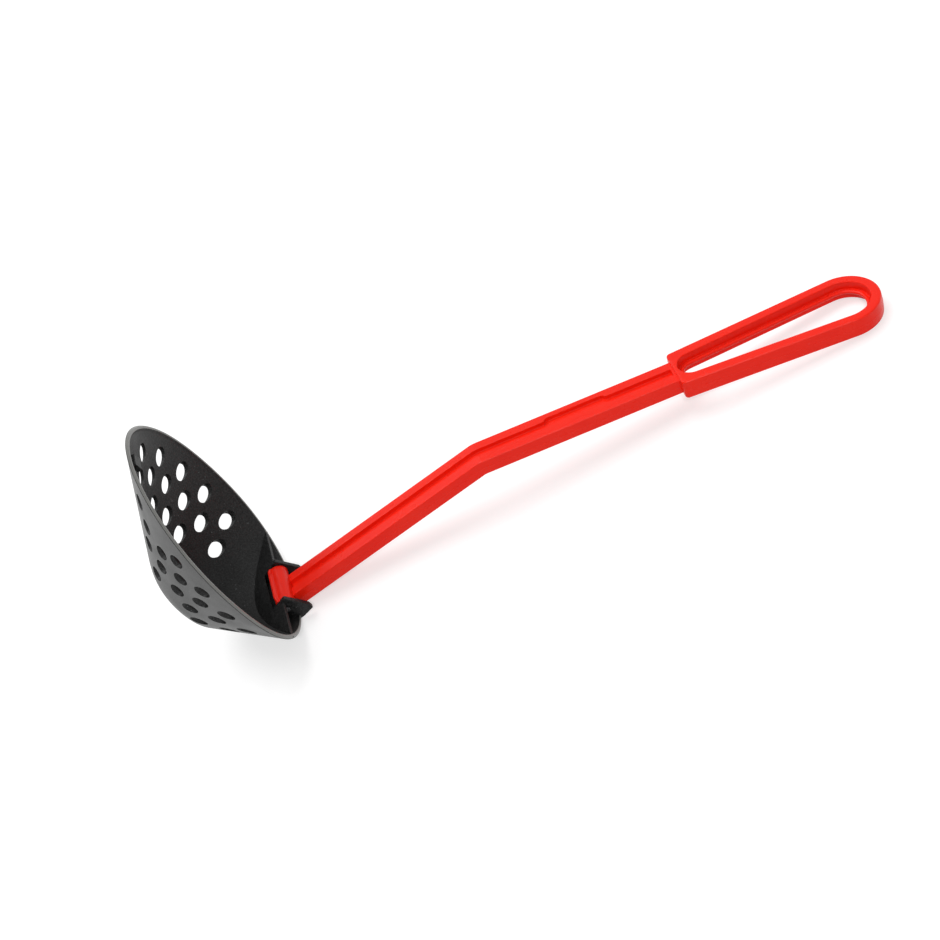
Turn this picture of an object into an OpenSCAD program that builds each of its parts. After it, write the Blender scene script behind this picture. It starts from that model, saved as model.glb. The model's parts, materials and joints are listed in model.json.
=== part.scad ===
// Folding skimmer ladle: a perforated bowl hinged to a bent handle with a hanging loop.
// Built in millimetres. +X runs along the handle, +Y along the hinge, +Z up.
// The pieces are drawn about the hinge axis, then the whole tool is laid down as it rests:
// on the lowest point of the rim and on the tip of the loop.

/* [Bowl] */
// Mean radius of the mouth's outer edge
mouth_r = 63.3; // [55:0.1:75]
// How much longer than wide the mouth is, as a radius
mouth_stretch = 4.1; // [0:0.1:8]
// How much the mouth narrows towards the catch lug
mouth_egg = 1; // [0:0.1:2.5]
// How much the mouth's four corners fill out
mouth_fill = 0.46; // [0:0.02:1]
// How much the mouth's lug end comes to a point
mouth_point = 0.29; // [0:0.01:0.5]
// Depth from the mouth to the edge of the rounded bottom
wall_depth = 40.4; // [28:0.2:46]
// Mean radius of the rounded bottom
base_r = 19.8; // [16:0.1:28]
// How much longer than wide the rounded bottom is, as a radius
base_stretch = 2.2; // [0:0.1:4]
// How far the bottom lies off centre, towards the hinge
base_shift = 18.2; // [8:0.1:20]
// How far the bottom bulges past its edge
base_crown = 2.8; // [1.5:0.1:6]
// Wall thickness, along the depth
wall_t = 1.5; // [1.2:0.1:2.6]
// Wall thickness, across the mouth, at the bottom
wall_side_t = 0.9; // [0.7:0.1:1.8]
// Share of the wall and of the bottom that the rounding between them takes
base_blend = 0.12; // [0.04:0.01:0.2]

/* [Rim] */
// Width of the rim's outer bevel
rim_bevel_w = 1.15; // [0.6:0.05:1.6]
// Height of the rim's outer bevel
rim_bevel_h = 1; // [0.5:0.05:1.6]
// Width of the rim's flat land
rim_land_w = 1.05; // [0.6:0.05:2]
// Width of the rim's inner bevel
rim_lip_w = 0.9; // [0.4:0.05:1.5]
// Height of the rim's inner bevel
rim_lip_h = 1.4; // [0.6:0.1:2]

/* [Drain holes] */
// Diameter of a drain hole
hole_d = 8; // [6:0.2:11]
// Places of the holes round the mouth in the row nearest the rim, in degrees from the lug
row_1 = [31, 51.5, 73, 95.5, 118];
// The same on the badge side, where the second place is left blank for the badge
row_1_badge_side = [17, 51.5, 73, 95.5, 118];
// Places in the second row
row_2 = [22.5, 39, 57.5, 78.5, 100.5, 123];
// Places in the third row
row_3 = [21, 38.5, 58.5, 79];
// The same on the badge side
row_3_badge_side = [21, 38.5, 58.5, 79, 103];
// Places in the row nearest the bottom
row_4 = [29];
// How far down the wall each row starts, as a share of it
row_starts = [0.2, 0.36, 0.555, 0.785];
// How much further down the wall each row is by 100 degrees
row_falls = [0.08, 0.15, 0.275, 0.4];

/* [Catch lug] */
// Width of the lug at the end of the mouth
lug_w = 8.4; // [6:0.2:16]
// How far the lug reaches into the mouth from the rim's edge
lug_reach = 11; // [8:0.5:16]
// Length of the lug's top
lug_len = 4.7; // [3:0.1:7]
// Thickness of the lug
lug_t = 2.6; // [1.5:0.1:4]
// Thickness of the web under the lug
lug_web_t = 2.4; // [1.5:0.1:4]
// How far the lug's top lies below the rim's land
lug_drop = 0.8; // [0.4:0.1:2]

/* [Hinge seat] */
// Distance from the hinge axis down to the rim's outer edge
axis_to_rim = 11.9; // [10.5:0.1:14]
// Distance from the hinge axis out to the plane of the mouth
axis_to_mouth = 2.1; // [1:0.1:3.5]
// Thickness of a cheek
cheek_t = 2.5; // [1.8:0.1:3.5]
// How far a cheek stands out past the mouth
cheek_out = 8; // [5:0.5:11]
// Height of a cheek's tip above its lower edge
cheek_tip_h = 3; // [2:0.5:5]
// How far a cheek's lower edge lies below the axis at the tip
cheek_drop = 8.5; // [6:0.5:9]
// Height of the leaning wall above the hinge axis
wing_h = 6; // [5:0.1:7]
// Thickness of the leaning wall beside and between the cheeks
wing_t = 1.8; // [1.6:0.1:2.4]
// How far the leaning wall's edge lies below the rim's land
wing_drop = 0.4; // [0.2:0.1:1.5]
// How much the leaning wall slopes as it goes in, in degrees
wing_lean = 13.5; // [10:0.5:30]

/* [Hinge] */
// Diameter of the hinge pin
pin_d = 3; // [2:0.1:4]
// Radius of the hinge barrel on the handle
barrel_r = 5.1; // [4.2:0.1:5.5]
// Length of the hinge barrel
barrel_len = 26.2; // [20:0.2:30]
// Radius from the axis to the ridge of the barrel's catch lip
lip_r = 7.05; // [6.2:0.05:7.3]
// Where the catch lip stands round the barrel, in degrees from the handle
lip_at = 110; // [100:1:120]
// Thickness of the catch lip
lip_t = 1.7; // [1:0.1:2.5]
// How far the catch lip is drawn in at its ends, to clear the bowl's curved wall
lip_end_drop = 1.2; // [0.8:0.1:1.5]
// Length over which it is drawn in
lip_end_len = 4.4; // [4:0.1:6]

/* [Handle bars] */
// Length from the hinge axis to the elbow
lower_len = 122.8; // [110:0.2:150]
// Length from the elbow to the loop
upper_len = 107.7; // [80:0.5:140]
// Bend at the elbow, in degrees
elbow_bend = 16.7; // [8:0.1:26]
// Width of the bars
bar_w = 16.6; // [12:0.2:20]
// Thickness of the bars
bar_t = 8.6; // [7.5:0.1:9.5]
// How far the bars' top face lies below the hinge axis
bar_drop = 0.8; // [0.5:0.1:1.5]
// Width of the long grooves
groove_w = 5.2; // [3:0.1:7]
// Depth of the long grooves
groove_d = 2.2; // [1:0.1:3.2]
// Length left solid between a groove and the loop
groove_end = 1.1; // [0.5:0.1:5]
// Distance from the elbow to the wide place in the top groove
pocket_at = 37.4; // [20:0.2:60]
// Length of the wide place
pocket_len = 34.4; // [20:0.2:45]
// How much wider the groove is there, on the far side
pocket_extra = 2; // [0.5:0.1:3.5]

/* [Loop] */
// Half width of the loop's shoulders
shoulder_half = 13.4; // [10:0.1:15]
// Radius of the shoulders' corners
shoulder_r = 2.2; // [0.6:0.1:3]
// Distance from the loop's shoulders to the centre of its round end
loop_len = 91.5; // [75:0.5:110]
// Outer radius of the loop's round end
loop_end_r = 19.1; // [16:0.1:22]
// Width of the loop's band at the sides and end
band_w = 5.45; // [4:0.05:7]
// Distance from the shoulders to the start of the opening
opening_at = 2.6; // [2:0.1:6]
// Radius of the opening's small end
opening_r = 7.6; // [6.5:0.1:8.5]
// How far the loop stands above the bars' top face
loop_rise = 1.4; // [0:0.1:2.5]
// How far the loop stands below the bars' underside
loop_fall = 0.6; // [0:0.1:1.5]
// How far the thin inner flange reaches into the opening
flange_w = 2.6; // [1:0.1:3.5]
// Thickness of the inner flange
flange_t = 2.4; // [1.5:0.1:4]

/* [Fits] */
// Gap between a moving face and its neighbour
gap = 0.3; // [0.2:0.05:0.6]
// Radial clearance of the pin in the barrel
pin_play = 0.08; // [0.03:0.01:0.1]
// Radial squeeze of the pin in the cheeks
pin_squeeze = 0.02; // [0:0.01:0.03]
// Gap between the handle's underside and the seat that stops it
stop_gap = 0.2; // [0.1:0.05:0.5]

/* [Hidden] */
$fn = 64;
sides = 90; // facets round the bowl
blend_steps = 3;
wing_steps = 24; // points where the leaning wall meets the bowl
root_steps = 20; // points down the wall under a cheek
eps = 0.01;

// Outer edge of the mouth, seen along the handle: angle 0 is at the catch lug
function mouth(a) = mouth_r + mouth_stretch * cos(2 * a) + mouth_egg * cos(3 * a)
    - mouth_fill * cos(4 * a) + mouth_point * cos(5 * a);
// Outer edge of the rounded bottom, seen the same way
function base_edge(a) = base_r + base_stretch * cos(2 * a);
mouth_z = mouth(180) - axis_to_rim; // middle of the mouth, above the hinge axis
base_z = mouth_z - base_shift;

// A point of the bowl: distance below the mouth, radius and centre height at angle a
function spot(depth, r, z, a) = [axis_to_mouth - depth, r * sin(a), z + r * cos(a)];
function mix(p, q, t) = p * (1 - t) + q * t;
// Quadratic curve through p and r that leans towards q
function bend(p, q, r, t) = mix(mix(p, q, t), mix(q, r, t), t);

// One skin of the bowl at angle a, from its rim to the middle of the bottom.
// side and down bring it in from the outer skin.
function edge(a, side, down, start) = spot(start[1], mouth(a) - start[0], mouth_z, a);
function foot(a, side, down) = spot(wall_depth - down, base_edge(a) - side, base_z, a);
function cap(a, side, down, k) =
    spot(wall_depth - down + base_crown * (1 - k * k), (base_edge(a) - side) * k, base_z, a);
function wall_at(a, s) = mix(edge(a, 0, 0, [0, rim_bevel_h]), foot(a, 0, 0), s);
function skin(a, side, down, start) =
    let (top = edge(a, side, down, start), corner = foot(a, side, down))
    [
        top,
        for (i = [0 : blend_steps])
            bend(mix(corner, top, base_blend), corner, cap(a, side, down, 1 - 2 * base_blend),
                i / blend_steps),
        cap(a, side, down, 0.4)
    ];

outer_start = [0, rim_bevel_h];
inner_start = [rim_bevel_w + rim_land_w + rim_lip_w, rim_lip_h];
function reversed(list) = [for (i = [len(list) - 1 : -1 : 0]) list[i]];
// The rim's own steps between the two skins
function rim_steps(a) = [
    edge(a, 0, 0, [rim_bevel_w, 0]),
    edge(a, 0, 0, [rim_bevel_w + rim_land_w, 0])
];

// A closed body from one list of points for each angle, with a point at both ends
module lathe_of(columns, first, last) {
    n = len(columns[0]);
    points = [for (c = columns) each c, first, last];
    tip = len(columns) * n;
    polyhedron(points, [
        for (i = [0 : sides - 1])
            let (a = i * n, b = ((i + 1) % sides) * n)
            each [
                [tip, b, a],
                for (j = [0 : n - 2]) each [[a + j, b + j, a + j + 1], [b + j, b + j + 1, a + j + 1]],
                [a + n - 1, b + n - 1, tip + 1]
            ]
    ]);
}

angles = [for (i = [0 : sides - 1]) 360 * i / sides];
base_tip = [axis_to_mouth - wall_depth - base_crown, 0, base_z];
shell_columns = [for (a = angles)
    concat(reversed(skin(a, 0, 0, outer_start)), rim_steps(a),
        skin(a, wall_side_t, wall_t, inner_start))];

module shell() {
    lathe_of(shell_columns, base_tip, base_tip + [wall_t, 0, 0]);
}

// The middle of the wall, where the parts that stand in the bowl end
middle_start = (outer_start + inner_start) / 2;
function middle(a, s) =
    mix(edge(a, 0, 0, middle_start), foot(a, wall_side_t / 2, wall_t / 2), s);
// The same in the X-Z plane at distance y from the middle, on the hinge side
function middle_beside(y, s) =
    let (r = (mouth(180) - middle_start[0]) * (1 - s) + (base_edge(180) - wall_side_t / 2) * s)
    [middle(180, s)[0], mouth_z - base_shift * s - sqrt(r * r - y * y)];
// The same at the catch lug, at distance depth below the plane of the mouth
function middle_lug(depth) =
    let (top = middle(0, 0), low = middle(0, 1))
    mix(top, low, (axis_to_mouth - depth - top[0]) / (low[0] - top[0]));

// A hole through the wall, straight along the way the bowl is deep
module drain_hole(a, s) {
    here = wall_at(a, s);
    reach = hole_d + wall_t;
    translate(here - [reach, 0, 0]) rotate([0, 90, 0]) cylinder(h = 2 * reach, d = hole_d);
}

module drain_holes() {
    far_side = [row_1, row_2, row_3, row_4];
    badge_side = [row_1_badge_side, row_2, row_3_badge_side, row_4];
    for (side = [[1, far_side], [-1, badge_side]], r = [0 : len(far_side) - 1], a = side[1][r])
        drain_hole(side[0] * a, row_starts[r] + row_falls[r] * pow(a / 100, 2));
}

// An outline in the X-Z plane, width w along Y, from y
module plate_xz(points, y, w) {
    translate([0, y + w, 0]) rotate([90, 0, 0]) linear_extrude(w) polygon(points);
}

cheek_in = barrel_len / 2 + gap; // inner face of a cheek
cheek_far = cheek_in + cheek_t; // its outer face
cheek_tip_x = axis_to_mouth + cheek_out;
wing_front = axis_to_mouth - wing_drop;
sweep_r = lip_r + gap; // room for the catch lip
seat_z = -bar_drop - bar_t - stop_gap;
bar_x = bar_drop; // where the bar starts beside the axis
seat_low = -axis_to_rim + wall_side_t; // the rim at the hinge

module cheek(y) {
    plate_xz([
        [axis_to_mouth + 1.2, wing_h + 0.8],
        [cheek_tip_x - 0.1, cheek_tip_h - cheek_drop],
        [cheek_tip_x, -cheek_drop],
        [axis_to_mouth + 1.5, seat_low + 1.1],
        [0, seat_low + 1],
        [0, wing_h]
    ], y, cheek_t);
}

// The leaning wall: its edge, the way it leans in, and the way its top face looks
lean_edge = [wing_front, 0, wing_h];
lean_in = [-cos(wing_lean), 0, -sin(wing_lean)];
lean_up = [-sin(wing_lean), 0, cos(wing_lean)];
// The angle at which the middle of the rim is as high as the wall's edge
function rim_angle(steps, a) = steps == 0 ? a
    : rim_angle(steps - 1, 180 - acos((mouth_z - wing_h) / (mouth(a) - middle_start[0])));
wing_angle = rim_angle(4, 180);

// Where the leaning wall meets the bowl at angle a, drawn on its own face
function wing_foot(a) =
    let (
        top = middle(a, 0),
        low = middle(a, 1),
        down = (lean_edge - wing_t / 2 * lean_up - top) * lean_up,
        p = mix(top, low, max(0, down / ((low - top) * lean_up)))
    )
    [(p - lean_edge) * lean_in, p[1]];

module wing_walls() {
    outline = [for (i = [0 : wing_steps]) wing_foot(wing_angle + (360 - 2 * wing_angle) * i / wing_steps)];
    ends = [[0, outline[wing_steps][1]], [0, outline[0][1]]];
    difference() {
        translate(lean_edge) rotate([0, -wing_lean, 0]) mirror([1, 0, 0])
            translate([0, 0, -wing_t]) linear_extrude(wing_t) polygon(concat(outline, ends));
        rotate([90, 0, 0]) cylinder(h = 2 * cheek_in, r = sweep_r, center = true);
        translate([-sweep_r / 2, -cheek_in, 0]) cube([2 * sweep_r, 2 * cheek_in, 2 * wing_h]);
    }
}

// The cheek inside the bowl, from the leaning wall down to the bowl's wall
module cheek_root(y) {
    edge_xz = [lean_edge[0], lean_edge[2]];
    up_xz = [lean_up[0], lean_up[2]];
    under = [for (i = [0 : root_steps])
        let (p = middle_beside(cheek_in + cheek_t / 2, i / root_steps))
        if ((p - edge_xz) * up_xz < 0) p];
    plate_xz(concat([edge_xz - wing_t / 2 * up_xz], under), y, cheek_t);
}

module catch_lug() {
    top = axis_to_mouth - lug_drop;
    low = top - lug_t;
    web_low = low - lug_reach / 2;
    near = mouth_z + mouth(0) - lug_reach;
    wall = [for (x = [low, low + eps, web_low]) middle_lug(axis_to_mouth - x)[2]];
    plate_xz([[top, near], [top, near + lug_len], [low, wall[0]], [low, near]], -lug_w / 2, lug_w);
    plate_xz([[low + eps, near + lug_len / 4], [low + eps, wall[1]], [web_low, wall[2]]],
        -lug_web_t / 2, lug_web_t);
}

module bowl() {
    color("#2b2b2d") difference() {
        union() {
            shell();
            wing_walls();
            catch_lug();
            for (y = [-cheek_far, cheek_in]) {
                cheek(y);
                cheek_root(y);
            }
        }
        drain_holes();
        rotate([90, 0, 0])
            cylinder(h = 2 * cheek_far + 2, r = pin_d / 2 - pin_squeeze, center = true);
        // flat seat in the rim that the handle comes to rest on when it is open
        translate([bar_x - gap, -bar_w / 2 - gap, seat_z])
            cube([axis_to_mouth + 1, bar_w + 2 * gap, axis_to_rim]);
    }
}

// Straight bars and their elbow seen from the side: heights z0 to z1 from the top face,
// from x0 on the lower bar to s1 along the upper bar
module bars_band(z0, z1, x0, s1) {
    turn = tan(elbow_bend / 2);
    along = [cos(elbow_bend), -sin(elbow_bend)];
    up = [sin(elbow_bend), cos(elbow_bend)];
    elbow = [lower_len, -bar_drop];
    polygon([
        [x0, z0 - bar_drop],
        elbow + z0 * [turn, 1],
        elbow + s1 * along + z0 * up,
        elbow + s1 * along + z1 * up,
        elbow + z1 * [turn, 1],
        [x0, z1 - bar_drop]
    ]);
}

module bars(z0, z1, x0, s1, half_w) {
    translate([0, half_w, 0]) rotate([90, 0, 0]) linear_extrude(2 * half_w) bars_band(z0, z1, x0, s1);
}

// Lays a drawing on the upper bar's top face, its origin at the elbow
module on_upper_bar() {
    translate([lower_len, 0, -bar_drop]) rotate([0, elbow_bend, 0]) children();
}

// The straight side that touches two circles of radius ra and rb, on the +Y side of a to b
function side_of(a, ra, b, rb) =
    let (d = b - a, t = atan2(d[1], d[0]) + acos((ra - rb) / norm(d)), n = [cos(t), sin(t)])
    [a + ra * n, b + rb * n];

function mirrored(points) = [for (p = reversed(points)) [p[0], -p[1]]];

loop_end_at = upper_len + loop_len; // measured from the elbow

module loop_outline() {
    corner = [upper_len + shoulder_r, shoulder_half - shoulder_r];
    end = [loop_end_at, 0];
    flank = side_of(corner, shoulder_r, end, loop_end_r);
    translate(end) circle(loop_end_r);
    for (s = [-1, 1]) translate([corner[0], s * corner[1]]) circle(shoulder_r);
    polygon(concat([[upper_len, corner[1]]], flank, mirrored(flank), [[upper_len, -corner[1]]]));
}

module loop_opening(inset) {
    start = [upper_len + opening_at + opening_r, 0];
    end = [loop_end_at, 0];
    start_r = opening_r - inset;
    end_r = loop_end_r - band_w - inset;
    flank = side_of(start, start_r, end, end_r);
    translate(start) circle(start_r);
    translate(end) circle(end_r);
    polygon(concat(flank, mirrored(flank)));
}

module loop() {
    low = -bar_t - loop_fall;
    high = loop_rise;
    mid = (low + high) / 2;
    on_upper_bar() {
        difference() {
            translate([0, 0, low]) linear_extrude(high - low) loop_outline();
            translate([0, 0, low - 1]) linear_extrude(high - low + 2) loop_opening(0);
        }
        translate([0, 0, mid - flange_t / 2]) linear_extrude(flange_t) difference() {
            loop_opening(-eps);
            loop_opening(flange_w);
        }
    }
}

module catch_lip() {
    half = barrel_len / 2;
    rotate([0, -lip_at, 0]) translate([0, 0, -lip_t / 2]) linear_extrude(lip_t)
        polygon([
            [0, -half],
            [lip_r - lip_end_drop, -half],
            [lip_r, lip_end_len - half],
            [lip_r, half - lip_end_len],
            [lip_r - lip_end_drop, half],
            [0, half]
        ]);
}

module barrel() {
    rotate([90, 0, 0]) cylinder(h = barrel_len, r = barrel_r, center = true);
    intersection() {
        catch_lip();
        rotate([90, 0, 0]) cylinder(h = barrel_len, r = lip_r, center = true);
    }
}

module pocket() {
    half = groove_w / 2;
    r = half + pocket_extra / 2;
    on_upper_bar() translate([0, pocket_extra / 2, -groove_d]) linear_extrude(2 * groove_d) {
        for (s = [pocket_at + r, pocket_at + pocket_len - r]) translate([s, 0]) circle(r);
        translate([pocket_at + r, -r]) square([pocket_len - 2 * r, 2 * r]);
    }
}

module handle() {
    color("#e8301c") difference() {
        union() {
            difference() {
                bars(0, -bar_t, bar_x, upper_len + shoulder_r, bar_w / 2);
                bars(1, -groove_d, barrel_r - 1, upper_len - groove_end, groove_w / 2);
                bars(-bar_t - 1, groove_d - bar_t, barrel_r + 3, upper_len - groove_end, groove_w / 2);
                pocket();
            }
            barrel();
            loop();
        }
        rotate([90, 0, 0]) cylinder(h = barrel_len + 2, r = pin_d / 2 + pin_play, center = true);
    }
}

module hinge_pin() {
    color("silver") rotate([90, 0, 0]) cylinder(h = 2 * cheek_far, r = pin_d / 2, center = true);
}

// How the tool lies: a line from the rim's lowest point to the loop's lowest point is level
rim_low = spot(rim_bevel_h, mouth(180), mouth_z, 180);
tip_low = [lower_len, 0, -bar_drop]
    + (loop_end_at + loop_end_r) * [cos(elbow_bend), 0, -sin(elbow_bend)]
    - (bar_t + loop_fall) * [sin(elbow_bend), 0, cos(elbow_bend)];
lie = atan((rim_low[2] - tip_low[2]) / (tip_low[0] - rim_low[0]));
function laid_x(p) = p[0] * cos(lie) - p[2] * sin(lie);
function laid_z(p) = p[0] * sin(lie) + p[2] * cos(lie);
tip_high = tip_low + (bar_t + loop_fall + loop_rise) * [sin(elbow_bend), 0, cos(elbow_bend)];
back = min([for (c = shell_columns, p = c) laid_x(p)]);
front = laid_x(tip_high);

module laid() {
    translate([-(back + front) / 2, 0, -laid_z(rim_low)]) rotate([0, -lie, 0]) children();
}

laid() handle();
laid() bowl();
laid() hinge_pin();
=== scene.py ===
import json
from math import acos, asin, atan2, cos, pi, radians, sin, sqrt, tan

import bmesh
import bpy
from mathutils import Euler, Matrix, Vector


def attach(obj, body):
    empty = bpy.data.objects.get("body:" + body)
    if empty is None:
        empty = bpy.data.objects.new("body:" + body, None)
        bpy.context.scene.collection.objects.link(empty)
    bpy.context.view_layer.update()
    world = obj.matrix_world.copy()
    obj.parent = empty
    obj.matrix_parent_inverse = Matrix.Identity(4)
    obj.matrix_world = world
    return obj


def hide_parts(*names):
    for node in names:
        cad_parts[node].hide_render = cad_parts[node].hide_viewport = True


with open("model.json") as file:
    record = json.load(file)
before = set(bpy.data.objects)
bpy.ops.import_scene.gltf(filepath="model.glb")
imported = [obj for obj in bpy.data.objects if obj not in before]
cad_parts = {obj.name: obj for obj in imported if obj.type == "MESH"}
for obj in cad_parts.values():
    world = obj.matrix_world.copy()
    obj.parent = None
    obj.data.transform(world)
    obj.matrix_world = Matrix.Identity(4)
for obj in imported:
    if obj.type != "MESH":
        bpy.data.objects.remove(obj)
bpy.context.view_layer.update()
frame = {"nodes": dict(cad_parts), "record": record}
scene = bpy.context.scene

# The mouldings are drawn in millimetres about the hinge axis, with X along the handle's first bar
# and Z towards the catch lug, and then laid down the way the tool rests. Every length in the
# dictionaries of the bowl and the handle is in millimetres, and every angle in degrees.
hingePlace = Vector(frame["record"]["behaviour"]["joints"][0]["pos_m"])
lieAngle = radians(10.4365)  # between the first bar and the level line from the rim to the loop
metresPerMillimetre = 0.001
layDown = (Matrix.Translation(hingePlace) @ Matrix.Rotation(-lieAngle, 4, "Y")
           @ Matrix.Scale(metresPerMillimetre, 4))

# How the meshes are made: edges past edgeFrom are rounded, and edges past sharpFrom stay crisp
meshing = {
    "mergeDistance": 1e-5, "edgeFrom": 30, "edgeSegments": 3, "edgeProfile": 0.5,
    "sharpFrom": 28, "normalWeight": 50, "boreSides": 48, "sectionSteps": 3,
    # the share of a stretch that one corner's curve may take, beside a second curve or beside none
    "sharedRoom": 0.48, "freeRoom": 0.95,
}


def mix(p, q, t):
    return p * (1 - t) + q * t


def curve(p, q, r, t):  # quadratic, from p to r, leaning towards q
    return mix(mix(p, q, t), mix(q, r, t), t)


# A path whose corners are rounded: sizes holds how far from each corner its curve starts
def roundedPath(points, sizes, steps):
    path = []
    for i, corner in enumerate(points):
        if sizes[i] == 0:
            path.append(corner)
            continue
        after = (i + 1) % len(points)
        back, ahead = points[i - 1] - corner, points[after] - corner
        backRoom = back.length * meshing["sharedRoom" if sizes[i - 1] else "freeRoom"]
        aheadRoom = ahead.length * meshing["sharedRoom" if sizes[after] else "freeRoom"]
        first = corner + back.normalized() * min(sizes[i], backRoom)
        last = corner + ahead.normalized() * min(sizes[i], aheadRoom)
        path += [curve(first, corner, last, k / steps) for k in range(steps + 1)]
    return path


def makeObject(name, points, faces, materials):
    mesh = bpy.data.meshes.new(name)
    mesh.from_pydata(points, [], faces)
    for material in materials:
        mesh.materials.append(material)
    piece = bpy.data.objects.new(name, mesh)
    scene.collection.objects.link(piece)
    return piece


# Merges what coincides, turns the faces outwards and gives them one finish, if one is named
def turnOutwards(piece, materialIndex=None):
    shape = bmesh.new()
    shape.from_mesh(piece.data)
    bmesh.ops.remove_doubles(shape, verts=shape.verts, dist=meshing["mergeDistance"])
    bmesh.ops.recalc_face_normals(shape, faces=shape.faces)
    if materialIndex is not None:
        for face in shape.faces:
            face.material_index = materialIndex
    shape.to_mesh(piece.data)
    shape.free()


# A closed block between two matching outlines, with its edges rounded
def makeBlock(name, front, back, rounding, materials, materialIndex=0):
    n = len(front)
    faces = [list(range(n)), list(range(n, 2 * n))]
    faces += [[i, (i + 1) % n, n + (i + 1) % n, n + i] for i in range(n)]
    block = makeObject(name, [*front, *back], faces, materials)
    turnOutwards(block, materialIndex)
    if rounding > 0:
        shape = bmesh.new()
        shape.from_mesh(block.data)
        sharp = [e for e in shape.edges if e.calc_face_angle(0) > radians(meshing["edgeFrom"])]
        bmesh.ops.bevel(shape, geom=sharp, offset=rounding, offset_type="OFFSET",
                        segments=meshing["edgeSegments"], profile=meshing["edgeProfile"],
                        affect="EDGES", clamp_overlap=True, material=-1)
        shape.to_mesh(block.data)
        shape.free()
    return block


# A closed grid: each ring is a list of points, and the rings follow one another. The last ring
# joins the first one, or else both have a cap.
def makeRings(name, rings, materials, closeRings=False):
    n = len(rings[0])
    points = [p for ring in rings for p in ring]
    faces = []
    for r in range(len(rings) if closeRings else len(rings) - 1):
        here, there = r * n, ((r + 1) % len(rings)) * n
        faces += [[here + i, here + (i + 1) % n, there + (i + 1) % n, there + i] for i in range(n)]
    if not closeRings:
        faces += [list(range(n)), list(range(len(points) - n, len(points)))]
    piece = makeObject(name, points, faces, materials)
    turnOutwards(piece)
    return piece


# A rod along Y, about the hinge axis
def makeRod(name, radius, halfLength, materials, materialIndex=0):
    count = meshing["boreSides"]
    ring = [Vector((radius * cos(2 * pi * i / count), 0, radius * sin(2 * pi * i / count)))
            for i in range(count)]
    along = Vector((0, halfLength, 0))
    return makeBlock(name, [p - along for p in ring], [p + along for p in ring], 0,
                     materials, materialIndex)


def bakeModifiers(piece):
    graph = bpy.context.evaluated_depsgraph_get()
    mesh = bpy.data.meshes.new_from_object(piece.evaluated_get(graph),
                                           preserve_all_data_layers=True, depsgraph=graph)
    old = piece.data
    piece.modifiers.clear()
    piece.data = mesh
    bpy.data.meshes.remove(old)
    mesh.name = piece.name


# Adds the tools to the piece, or cuts them out of it, one after another
def combine(piece, tools, operation):
    for tool in tools:
        step = piece.modifiers.new("Combine", "BOOLEAN")
        step.operation = operation
        step.solver = "EXACT"
        step.object = tool
        bakeModifiers(piece)
        mesh = tool.data
        bpy.data.objects.remove(tool)
        bpy.data.meshes.remove(mesh)


# Lays a moulding down in the frame, smooths it, and hands it to its body
def finishPiece(piece, body, node):
    piece.data.transform(layDown)
    piece.data.polygons.foreach_set("use_smooth", [True] * len(piece.data.polygons))
    piece.data.set_sharp_from_angle(angle=radians(meshing["sharpFrom"]))
    step = piece.modifiers.new("Normals", "WEIGHTED_NORMAL")
    step.keep_sharp = True
    step.weight = meshing["normalWeight"]
    bakeModifiers(piece)
    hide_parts(node)
    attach(piece, body)
    shape = bmesh.new()
    shape.from_mesh(piece.data)
    loose = sum(1 for e in shape.edges if len(e.link_faces) != 2)
    points, faces = len(shape.verts), len(shape.faces)
    print(f"{piece.name}: {points} points, {faces} faces, {loose} open edges")
    shape.free()


# The plastics: two shades and what blends them, grain in features per metre, bump in metres, and
# the amounts of dust and of wear on the edges
plastics = {
    "handlePlastic": {
        "shade": (0.86, 0.019, 0.005), "otherShade": (0.78, 0.01, 0.003),
        "blend": "Unevenness", "roughness": 0.3, "specular": 0.16, "grain": 4200.0,
        "bump": 0.00002, "dust": 0.08, "edge": 0.5,
    },
    "bowlOutside": {
        "shade": (0.004, 0.0045, 0.0045), "otherShade": (0.0175, 0.019, 0.0175),
        "blend": "Speckle", "roughness": 0.38, "specular": 0.34, "grain": 2600.0,
        "bump": 0.00002, "dust": 0.25, "edge": 0.6,
    },
    "bowlInside": {
        "shade": (0.0015, 0.0015, 0.0015), "otherShade": (0.021, 0.0215, 0.0215),
        "blend": "Speckle", "roughness": 0.46, "specular": 0.22, "grain": 1300.0,
        "bump": 0.00012, "dust": 0.35, "edge": 0.6,
    },
    # the rim is the same black plastic as the bowl; its lighter grey is a painted highlight along
    # the rim's edges
    "rimPaintedHighlight": {
        "shade": (0.1, 0.101, 0.096), "otherShade": (0.2, 0.2, 0.187),
        "blend": "Unevenness", "roughness": 0.34, "specular": 0.5, "grain": 2600.0,
        "bump": 0.00002, "dust": 0.25, "edge": 0.6,
    },
}
mouldSkin = {
    "refraction": 1.49, "flow": 60.0, "flowHeight": 0.6, "flowRange": (0.3, 0.7),
    "roughnessSwing": 0.05, "speckleRange": (0.36, 0.66),
}
handling = {
    "dust": (0.32, 0.33, 0.34), "dustScale": 900.0, "speckRange": (0.70, 0.78),
    "patchScale": 45.0, "patchRange": (0.42, 0.66), "edgeRange": (0.52, 0.62), "edgePolish": 0.12,
}
pinFinish = {
    "steel": (0.56, 0.56, 0.57), "roughness": 0.3, "smoother": 0.1, "rougher": 0.15,
    "brushing": 2400.0, "brushStretch": (1.0, 0.08, 1.0), "bump": 0.000004,
}


# A node of one kind, with its own settings first and then its sockets' values
def place(tree, kind, sockets=None, **settings):
    node = tree.nodes.new(kind)
    for name, value in settings.items():
        setattr(node, name, value)
    for socket, value in (sockets or {}).items():
        node.inputs[socket].default_value = value
    return node


# Spreads a stretch of values over 0 to 1, or over the two ends given
def placeRange(tree, stretch, ends=(0.0, 1.0)):
    return place(tree, "ShaderNodeMapRange", {"From Min": stretch[0], "From Max": stretch[1],
                                              "To Min": ends[0], "To Max": ends[1]})


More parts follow.
